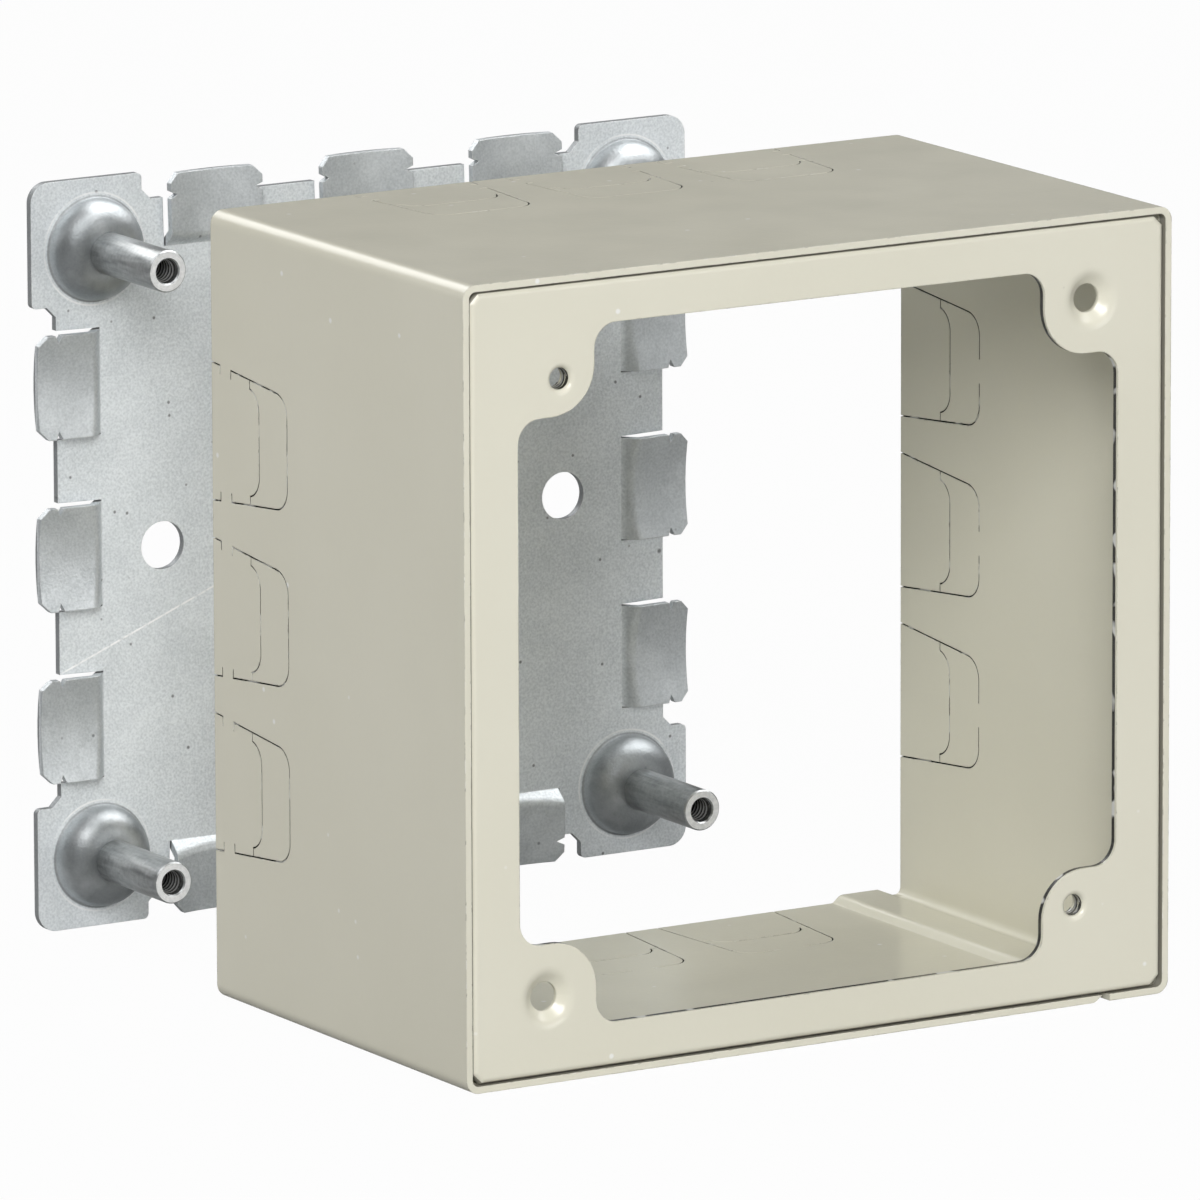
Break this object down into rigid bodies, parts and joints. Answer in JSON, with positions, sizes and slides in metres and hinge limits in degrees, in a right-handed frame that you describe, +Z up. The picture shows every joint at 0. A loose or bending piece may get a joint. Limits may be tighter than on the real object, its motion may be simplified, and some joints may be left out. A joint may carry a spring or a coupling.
{
  "type": "raceway outlet box",
  "caption": "Deep square outlet box for surface raceway: painted folded sleeve with inset frame and knockouts, and a separate steel base plate with raised tongues and tapped standoffs.",
  "frame": {"origin": "centre of the sleeve's bottom face, which stands on the surface", "axes": "+X to the right seen from the front, +Y to the rear (the open front faces -Y), +Z up"},
  "size_m": [0.1195, 0.1202, 0.115],
  "materials": {
    "painted_sheet": "smooth glossy ivory enamel",
    "painted_frame": "smooth glossy ivory enamel",
    "zinc_sheet": "bright zinc coating with a fine spangle",
    "turned_steel": "bright zinc-plated turned steel"
  },
  "bodies": {
    "root": {"sleeve": "painted_sheet", "front_frame": "painted_frame", "base_plate": "zinc_sheet", "standoff_upper_left": "turned_steel", "standoff_upper_right": "turned_steel", "standoff_lower_left": "turned_steel", "standoff_lower_right": "turned_steel"}
  },
  "joints": []
}
